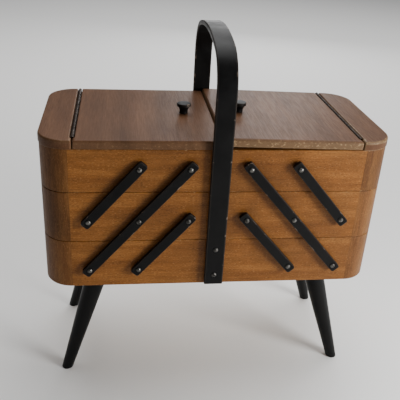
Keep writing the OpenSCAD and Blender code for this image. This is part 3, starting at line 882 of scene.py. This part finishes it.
def makeLid(side, seed):
    setup = lidSetup
    low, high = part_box("left_lid")
    inner, seam = -high.x, -low.x
    slot = seam - setup["slotHalf"] + setup["seamHalf"]
    y, step = high.y, low.y + setup["tongue"]
    share, corner, steps = setup["edgeShare"], setup["cornerRound"], setup["cornerSteps"]
    corners = [(inner, -y, corner, setup["frontShare"][side], steps), (seam, -y, corner, 1, steps),
               (seam, step, 0, 1, 1), (slot, step, 0, setup["slotShare"], 1),
               (slot, y, corner, share, steps), (inner, y, corner, share, steps)]
    shape = newShape()
    levels = roundLevels(high.z - low.z, setup["seamRound"], setup["bottomRound"][side], setup["faceWear"])
    turn = lidPlace(side) @ mirrored(side)
    place = turn @ Matrix.Translation(up * low.z)
    grain = boardGrain(seed)
    addPlate(shape, corners, levels, grain, place)
    wearAndPaintedLight(shape, side)
    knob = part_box("left_knob")
    axis = Vector((-(knob[0].x + knob[1].x) / 2, 0, low.z))
    reach = up * setup["boreReach"]
    bore = [(turn @ (axis - reach), turn @ (axis + reach), setup["knobBore"])]
    back = place.inverted()
    makePiece(side + "Lid", shape, "lids", side + "_lid_assembly", side + "_lid", bore,
              lambda point: grain(back @ point))


def makeRail(side, seed):
    setup = lidSetup
    low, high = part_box("right_end_rail")
    seam = low.x
    slot = seam - setup["seamHalf"] + setup["slotHalf"]
    y, step = high.y, low.y + setup["tongue"]
    share, corner, steps = setup["edgeShare"], setup["cornerRound"], setup["cornerSteps"]
    wide, ends = cornerRadius + high.y - halfDepth, setup["endSteps"]
    corners = [(seam, -y, corner, share, steps), (high.x, -y, wide, share, ends),
               (high.x, y, wide, share, ends), (slot, y, corner, setup["slotShare"], steps),
               (slot, step, 0, 1, 1), (seam, step, 0, 1, 1)]
    shape = newShape()
    levels = roundLevels(high.z - low.z, setup["seamRound"], setup["bottomRound"]["left"])
    addPlate(shape, corners, levels, boardGrain(seed), mirrored(side) @ Matrix.Translation(up * low.z))
    wearAndPaintedLight(shape, side)
    makePiece(side + "EndRail", shape, "lids", side + "_top_tray", side + "_end_rail")


for seed, side in enumerate(sideSign):
    makeLid(side, seed + 1)
    makeRail(side, seed + 4)
print("lids and rails made")

# ---- hinges ----

hingeSetup = {
    "Knuckle Radius": 2.2 * mm, "Knuckle Length": 12.653 * mm, "Near": 1.75 * mm, "Far": 2.75 * mm,
    "Leaf Depth": 8.0 * mm, "Notch": 2.6 * mm, "Tip": 0.5 * mm,
}
hingeRow = {"pitch": 12.953 * mm, "knuckles": 15, "bores": {"rail": 1.0 * mm, "lid": 1.05 * mm}}


def hingeTree():        # a leaf along +Y from the end of its hinge, on the +X side of the pin
    tree, given = newNodeTree("hingeLeaf", [*hingeSetup, "Bore Radius", "Leaf Length"])
    length, near, far = given["Knuckle Length"], given["Near"], given["Far"]
    turn = (-math.pi / 2, 0, 0)
    overlap = 0.2 * mm      # of a tab with its leaf
    barrel = cylinderNode(tree, given["Knuckle Radius"], length, times(tree, length, 0.5), 24)
    barrel = moveNode(tree, barrel, Rotation=turn)
    notch, tip, foot = (times(tree, given[name], -1.0) for name in ("Notch", "Tip", "Leaf Depth"))
    tab = cubeNode(tree, (near, 0.0, minus(tree, notch, overlap)), (far, length, tip))
    bore = cylinderNode(tree, given["Bore Radius"], times(tree, length, 3.0), 0.0, 24)
    bore = moveNode(tree, bore, Rotation=turn)
    knuckle = boolean(tree, "DIFFERENCE", boolean(tree, "UNION", None, [barrel, tab]), [bore])
    plate = cubeNode(tree, (near, 0.0, foot), (far, given["Leaf Length"], notch))
    values = {"Points": given["Geometry"], "Instance": knuckle}
    knuckles = nodeOut(tree, "GeometryNodeInstanceOnPoints", values)
    joined = addNode(tree, "GeometryNodeJoinGeometry")
    tree.links.new(knuckles, joined.inputs[0])
    tree.links.new(plate, joined.inputs[0])
    endTree(tree, joined.outputs[0], given["Material"])
    return tree


hingeLeaf = hingeTree()


def makeLeaf(side, leaf, first):        # first is the knuckle that the leaf starts with
    low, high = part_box("left_hinge_rail_leaf")
    places = [(0, index * hingeRow["pitch"], 0) for index in range(first, hingeRow["knuckles"], 2)]
    name = f"{side}Hinge{leaf.capitalize()}Leaf"
    outward = sideSign[side] if leaf == "rail" else -sideSign[side]
    start = Vector((hingeAt[side].x, low.y, hingeAt[side].z))
    place = Matrix.Translation(start) @ Matrix.Scale(outward, 4, Vector((1, 0, 0)))
    if leaf == "lid":
        place = lidPlace(side) @ place
    values = {**hingeSetup, "Bore Radius": hingeRow["bores"][leaf], "Leaf Length": high.y - low.y}
    body = side + ("_top_tray" if leaf == "rail" else "_lid_assembly")
    node = f"{side}_hinge_{leaf}_leaf"
    growPiece(name, pointMesh(name, places), hingeLeaf, values, "hinges", body, node, place)


for side in sideSign:
    makeLeaf(side, "rail", 0)
    makeLeaf(side, "lid", 1)
print("hinges made")

# ---- links ----

linkSetup = {
    "width": 12.5 * mm, "end": 9 * mm, "corner": 3 * mm, "edgeRound": 0.7 * mm,
    "running": 2.31 * mm, "closing": 2.5 * mm, "boreReach": 3 * mm,
}


def makeLink(name, node, body, places, face, closing):
    setup = linkSetup
    sign = faceSign[face]
    low, high = linkBox
    along = (places[-1] - places[0]).normalized()
    outward = Vector((0, sign, 0))
    start = Vector((places[0].x, -sign * high.y, places[0].z))
    place = Matrix.Translation(start) @ Matrix((along.cross(outward), along, outward)).transposed().to_4x4()
    half = setup["width"] / 2
    near, far = -setup["end"], (places[-1] - places[0]).length + setup["end"]
    outline = ((-half, near), (half, near), (half, far), (-half, far))
    corners = [(x, y, setup["corner"], 1, 6) for x, y in outline]
    shape = newShape()
    levels = roundLevels(high.y - low.y, setup["edgeRound"], setup["edgeRound"], steps=3)
    addPlate(shape, corners, levels, ownGrain, place)
    holes = []
    for index, spot in enumerate(places):
        radius = setup["closing"] if closing and index else setup["running"]
        seat = Vector((spot.x, sign * -high.y, spot.z))
        reach = setup["boreReach"]
        holes.append((seat - outward * reach, seat + outward * (high.y - low.y + reach), radius))
    makePiece(name, shape, "paint", body, node, holes)


for side in sideSign:
    spots = pivots[side]
    routes = {
        "long": [spots["bottom"][1], spots["middle"][1], spots["top"][0]],
        "lower": [spots["bottom"][0], spots["middle"][0]],
        "upper": [spots["middle"][2], spots["top"][1]],
    }
    for kind, places in routes.items():
        for face in faceSign:
            name = f"{side}{kind.capitalize()}Link{face.capitalize()}"
            node = f"{side}_{kind}_link_{face}"
            makeLink(name, node, f"{side}_{kind}_links", places, face, kind != "long")
print("links made")

# ---- handle ----

handleSetup = {
    "thick": 6 * mm, "corner": 52 * mm, "crown": 300 * mm,
    "cornerSteps": 24, "crownSteps": 24, "armSteps": 60,
    "edgeRound": 1.1 * mm, "edgeSteps": 8, "profilePoints": 84, "boreReach": 3 * mm,
}


def strapPath():        # along the middle of the strap, from the front foot over to the back foot
    setup = handleSetup
    outer, top = strapBox[1].y, strapBox[1].z
    reach = setup["crown"] - setup["corner"]
    tilt = math.asin((outer - setup["corner"]) / reach)
    cornerZ = top - setup["crown"] + reach * math.cos(tilt)
    inset = setup["thick"] / 2
    half = [(outer - inset, strapBox[0].z + (cornerZ - strapBox[0].z) * step / setup["armSteps"])
            for step in range(setup["armSteps"])]
    for step in range(setup["cornerSteps"]):
        turn = (math.pi / 2 - tilt) * step / setup["cornerSteps"]
        radius = setup["corner"] - inset
        half.append((outer - setup["corner"] + radius * math.cos(turn), cornerZ + radius * math.sin(turn)))
    for step in range(setup["crownSteps"] + 1):
        turn = tilt * (1 - step / setup["crownSteps"])
        radius = setup["crown"] - inset
        half.append((radius * math.sin(turn), top - setup["crown"] + radius * math.cos(turn)))
    return [Vector((0, -y, z)) for y, z in half] + [Vector((0, y, z)) for y, z in reversed(half[:-1])]


def nearEdge(tree, value, width, edgeRound):        # 0 on the flat, 1 from the start of the rounding outwards
    edge = minus(tree, times(tree, width, 0.5), edgeRound)
    return spread(tree, maths(tree, "ABSOLUTE", value, 0.0), minus(tree, edge, edgeRound), edge)


def strapTree():        # sweeps the strap's section along its path
    tree, given = newNodeTree("strap", ["Width", "Thickness", "Edge Round"])
    width, thick, edgeRound = given["Width"], given["Thickness"], given["Edge Round"]
    path = nodeOut(tree, "GeometryNodeMeshToCurve", {"Mesh": given["Geometry"]})
    values = {"Curve": path, "Normal": (1, 0, 0)}
    path = nodeOut(tree, "GeometryNodeSetCurveNormal", values, mode="FREE")
    values = {"Width": width, "Height": thick}
    section = nodeOut(tree, "GeometryNodeCurvePrimitiveQuadrilateral", values)
    values = {"Curve": section, "Count": handleSetup["edgeSteps"], "Radius": edgeRound}
    section = nodeOut(tree, "GeometryNodeFilletCurve", values, mode="POLY")
    values = {"Curve": section, "Count": handleSetup["profilePoints"]}
    section = nodeOut(tree, "GeometryNodeResampleCurve", values)
    x, y = components(tree, nodeOut(tree, "GeometryNodeInputPosition"))[:2]
    wear = times(tree, nearEdge(tree, x, width, edgeRound), nearEdge(tree, y, thick, edgeRound))
    values = {"Geometry": section, "Name": "wear", "Value": wear}
    kept = addNode(tree, "GeometryNodeStoreNamedAttribute", values, data_type="FLOAT", domain="POINT")
    values = {"Curve": path, "Profile Curve": kept.outputs[0], "Fill Caps": True}
    strap = nodeOut(tree, "GeometryNodeCurveToMesh", values)
    endTree(tree, strap, given["Material"])
    return tree


def makeHandle():
    setup = handleSetup
    route = strapPath()
    mesh = bpy.data.meshes.new("handlePath")
    mesh.from_pydata(route, [(index, index + 1) for index in range(len(route) - 1)], [])
    width = strapBox[1].x - strapBox[0].x
    values = {"Width": width, "Thickness": setup["thick"], "Edge Round": setup["edgeRound"]}
    holes = []
    for sign in faceSign.values():
        for spot in strapPlaces:
            outer = Vector((0, sign * strapBox[1].y, spot.z))
            outward = Vector((0, sign, 0))
            inner = outer - outward * (setup["thick"] + setup["boreReach"])
            holes.append((inner, outer + outward * setup["boreReach"], screwSetup["Shoulder Radius"]))
    growPiece("handle", mesh, strapTree(), values, "paint", "bottom_box", "handle",
              bores=holes)


makeHandle()
print("handle made")

# ---- legs ----

legSetup = {
    "topRadius": 14.5 * mm, "footRadius": 7.5 * mm, "footEdge": 1.2 * mm, "turns": 48, "levels": 24,
    "headIn": 23 * mm, "headY": 57.8 * mm,      # from the battens' ends, and from the middle
    "boltRadius": 4 * mm, "boltReach": 30 * mm, "boltRise": 6 * mm,
}


def makeLeg(signX, signY, name, node):
    setup = legSetup
    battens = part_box("leg_battens")
    foot = Vector(next(spot for spot in footSpots if spot.x * signX > 0 and spot.y * signY > 0))
    head = Vector((signX * (battens[1].x - setup["headIn"]), signY * setup["headY"], battens[0].z))
    axis = (foot - head).normalized()
    length = (foot - head).length
    sideways = axis.cross(up).normalized()
    forward = axis.cross(sideways)
    taper = (setup["topRadius"] - setup["footRadius"]) / length

    def ring(level, inset, wear):       # the slanting cone cut level
        points = []
        for step in range(setup["turns"]):
            turn = 2 * math.pi * step / setup["turns"]
            out = sideways * math.cos(turn) + forward * math.sin(turn)
            radius = setup["topRadius"] - inset
            reach = (level - head.z - radius * out.z) / (axis.z - taper * out.z)
            points.append((head + axis * reach + out * (radius - taper * reach), wear))
        return points

    edge = setup["footEdge"]
    start = edge + supportWidth
    rings = [ring(0, start, 0.0)]
    rings += [ring(edge * (1 - math.cos(turn)), edge * (1 - math.sin(turn)), 1.0) for turn in quarterTurn(4)]
    for step in range(setup["levels"] + 1):
        rings.append(ring(start + (head.z - start) * step / setup["levels"], 0, 0.0))
    shape = newShape()
    addRings(shape, rings, ownGrain)
    bore = [(head - axis * setup["boltRise"], head + axis * setup["boltReach"], setup["boltRadius"])]
    makePiece(name, shape, "paint", "bottom_box", node, bore)


footSpots = [Vector(mount["pos_m"]) for mount in frame["record"]["mounts"]]
for side, signX in sideSign.items():
    for face, signY in faceSign.items():
        makeLeg(signX, signY, f"{face}{side.capitalize()}Leg", f"leg_{face}_{side}")
print("legs made")

# ---- knobs ----

knobSetup = {
    "height": 14 * mm, "footRadius": 5.5 * mm, "footEdge": 0.3 * mm, "neck": 3 * mm, "flareSteps": 12,
    "radius": 9.25 * mm, "rim": 3 * mm, "rimEdge": 0.4 * mm, "rimSupport": 0.3 * mm, "rimDrop": 0.25 * mm,
    "edgeRound": 0.9 * mm, "crownDepths": (0.2 * mm, 0.05 * mm), "crownFlat": 1 * mm, "turns": 48,
    "screwRadius": 2 * mm, "screwStart": 1 * mm, "screwReach": 8 * mm,
}


def knobProfile():
    setup = knobSetup
    foot, radius, top, edge = (setup[key] for key in ("footRadius", "radius", "height", "edgeRound"))
    flare = top - setup["rim"] - setup["neck"]
    profile = [(foot - setup["footEdge"], 0, 0.0), (foot, setup["footEdge"], 0.5), (foot, setup["neck"], 0.0)]
    cut = math.acos(1 - (radius - foot) / flare)
    for step in range(1, setup["flareSteps"] + 1):       # hollow flare under the rim
        turn = cut * step / setup["flareSteps"]
        profile.append((foot + flare * (1 - math.cos(turn)), setup["neck"] + flare * math.sin(turn), 0.0))
    low = max(top - setup["rim"], profile[-1][1])
    profile += [(radius, low + setup["rimEdge"], 0.6), (radius, top - edge - setup["rimSupport"], 0.0)]
    for turn in quarterTurn(4):
        height = top - edge * (1 - math.sin(turn)) - setup["rimDrop"]
        profile.append((radius - edge * (1 - math.cos(turn)), height, 1.0))
    outer, inner = setup["crownDepths"]
    profile += [(radius - edge - setup["rimEdge"], top - outer, 0.0), (radius / 2, top - inner, 0.0)]
    return profile + [(setup["crownFlat"], top, 0.0)]


def makeKnob(side):
    setup = knobSetup
    low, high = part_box("left_knob")
    middle = Vector((-(low.x + high.x) / 2, 0, low.z))
    turn = lidPlace(side) @ mirrored(side)
    shape = newShape()
    addLathe(shape, knobProfile(), ownGrain, turn @ Matrix.Translation(middle), setup["turns"])
    start, end = turn @ (middle - up * setup["screwStart"]), turn @ (middle + up * setup["screwReach"])
    bore = [(start, end, setup["screwRadius"])]
    makePiece(side + "Knob", shape, "paint", side + "_lid_assembly", side + "_knob", bore)


for side in sideSign:
    makeKnob(side)
print("knobs made")

# ---- finishes of the pieces that stay as they are ----

finishes = {
    "base_panels": ["bottom_box_base_panel"] + [f"{side}_{tier}_tray_base_panel" for side, tier in trays],
    "battens": ["leg_battens"],
    "bolts": ["leg_bolts"],
    "inserts": ["leg_inserts"],
    "hinges": [side + "_hinge_pin" for side in sideSign],
    "screws": [side + "_knob_screw" for side in sideSign],
}
for finish, nodes in finishes.items():
    for node in nodes:
        piece = frame["nodes"][node]
        for slot in piece.material_slots:
            slot.material = materials[finish]
print("finishes given")

# ---- floor and light ----

floorSetup = {"size": 14.0, "color": (0.82, 0.815, 0.80), "rough": 0.9}
lightSetup = {
    "key": {"place": (0.70, -0.58, 0.48), "aim": (0, 0, 0.25), "size": 0.36, "power": 9.5},
    "ceiling": {"place": (0.5, 1.3, 2.8), "aim": (0.3, 0.7, 0), "size": 3.2, "power": 125},
    "back": {"place": (0.55, 2.13, 0.88), "aim": (0, 0, 0.4), "size": 0.8, "power": 7},
}
worldSetup = {"color": (0.93, 0.95, 1.0), "strength": 0.11}


def addFloor(setup):
    mesh = bpy.data.meshes.new("floor")
    half = setup["size"] / 2
    corners = [(-half, -half, 0), (half, -half, 0), (half, half, 0), (-half, half, 0)]
    mesh.from_pydata(corners, [], [(0, 1, 2, 3)])
    material, _, shader = newMaterial("floor")
    shader.inputs["Base Color"].default_value = (*setup["color"], 1)
    shader.inputs["Roughness"].default_value = setup["rough"]
    mesh.materials.append(material)
    addObject("floor", mesh)


def addLight(name, setup):
    data = bpy.data.lights.new(name, "AREA")
    data.size = setup["size"]
    data.energy = setup["power"]
    light = addObject(name, data)
    light.location = setup["place"]
    light.rotation_euler = (Vector(setup["aim"]) - Vector(setup["place"])).to_track_quat("-Z", "Y").to_euler()


def addWorld(setup):
    world = bpy.data.worlds.new("world")
    world.use_nodes = True
    background = world.node_tree.nodes["Background"].inputs
    background["Color"].default_value = (*setup["color"], 1)
    background["Strength"].default_value = setup["strength"]
    bpy.context.scene.world = world


addFloor(floorSetup)
for name, setup in lightSetup.items():
    addLight(name, setup)
addWorld(worldSetup)
print("stage made")
